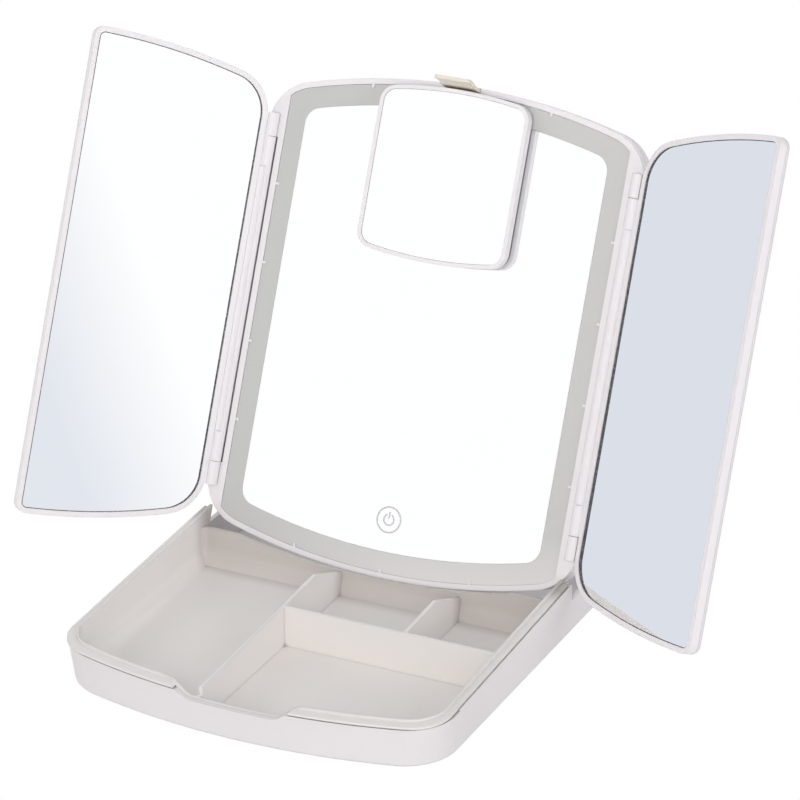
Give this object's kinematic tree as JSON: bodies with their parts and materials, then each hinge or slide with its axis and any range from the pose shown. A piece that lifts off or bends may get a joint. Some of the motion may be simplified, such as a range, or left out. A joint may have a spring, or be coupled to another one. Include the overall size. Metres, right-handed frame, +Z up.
{
  "type": "trifold vanity mirror",
  "caption": "Lighted trifold cosmetic mirror with folding side mirrors and lift-off magnifier, on a tilting hinge over a divided tray base.",
  "frame": {"origin": "middle of the plane the tray's rubber feet stand on, under the middle of the tray", "axes": "+X to the user's right when facing the mirror, -Y towards the user, +Z up"},
  "size_m": [0.3286, 0.2442, 0.2414],
  "materials": {
    "shell_plastic": "satin",
    "liner_plastic": "gloss",
    "feet_rubber": "matt",
    "stand_plastic": "satin",
    "screw_steel": "satin",
    "axle_steel": "satin",
    "cover_plastic": "satin",
    "frame_plastic": "gloss",
    "diffuser_plastic": "frosted",
    "mirror_glass": "polished",
    "lamp_board": "matt",
    "touch_pad": "bright",
    "icon_etch": "frosted",
    "battery_wrap": "matt",
    "board_laminate": "satin",
    "socket_steel": "bright",
    "magnet_nickel": "bright",
    "pin_steel": "bright",
    "tab_silicone": "soft",
    "wing_plastic": "gloss",
    "wing_back_plastic": "satin",
    "magnifier_plastic": "gloss",
    "magnifier_glass": "polished",
    "plate_steel": "satin"
  },
  "bodies": {
    "tray": {"tray_shell": "shell_plastic", "tray_liner": "liner_plastic", "rubber_feet": "feet_rubber", "stand_post": "stand_plastic", "stand_screws": "screw_steel"},
    "mirror_panel": {"lid_back_cover": "cover_plastic", "lid_front_frame": "frame_plastic", "diffuser_ring": "diffuser_plastic", "centre_mirror": "mirror_glass", "led_ring": "lamp_board", "touch_sensor": "touch_pad", "power_icon": "icon_etch", "battery": "battery_wrap", "control_board": "board_laminate", "usb_socket": "socket_steel", "cover_screws": "screw_steel", "tilt_axle": "axle_steel", "magnifier_magnets": "magnet_nickel", "left_hinge_pins": "pin_steel", "right_hinge_pins": "pin_steel", "pull_tab": "tab_silicone"},
    "left_wing": {"left_wing_frame": "wing_plastic", "left_wing_back": "wing_back_plastic", "left_wing_mirror": "mirror_glass"},
    "right_wing": {"right_wing_frame": "wing_plastic", "right_wing_back": "wing_back_plastic", "right_wing_mirror": "mirror_glass"},
    "magnifier": {"magnifier_frame": "magnifier_plastic", "magnifier_mirror": "magnifier_glass", "magnifier_plates": "plate_steel"}
  },
  "joints": [
    {"name": "lid_tilt", "type": "hinge", "parent": "tray", "child": "mirror_panel", "pos_m": [0, 0.0544, 0.05594], "axis": [1, 0, 0], "range_deg": [-2, 105]},
    {"name": "left_wing_fold", "type": "hinge", "parent": "mirror_panel", "child": "left_wing", "pos_m": [-0.08997, 0.0705, 0.11595], "axis": [0, 0.3933, 0.9194], "range_deg": [-43.3, 122.7]},
    {"name": "right_wing_fold", "type": "hinge", "parent": "mirror_panel", "child": "right_wing", "pos_m": [0.08997, 0.0705, 0.11595], "axis": [0, -0.3933, -0.9194], "range_deg": [-30.2, 135.8]},
    {"name": "magnifier_lift", "type": "slide", "parent": "mirror_panel", "child": "magnifier", "axis": [0, -0.9194, 0.3933], "range_m": [0, 0.006]}
  ]
}
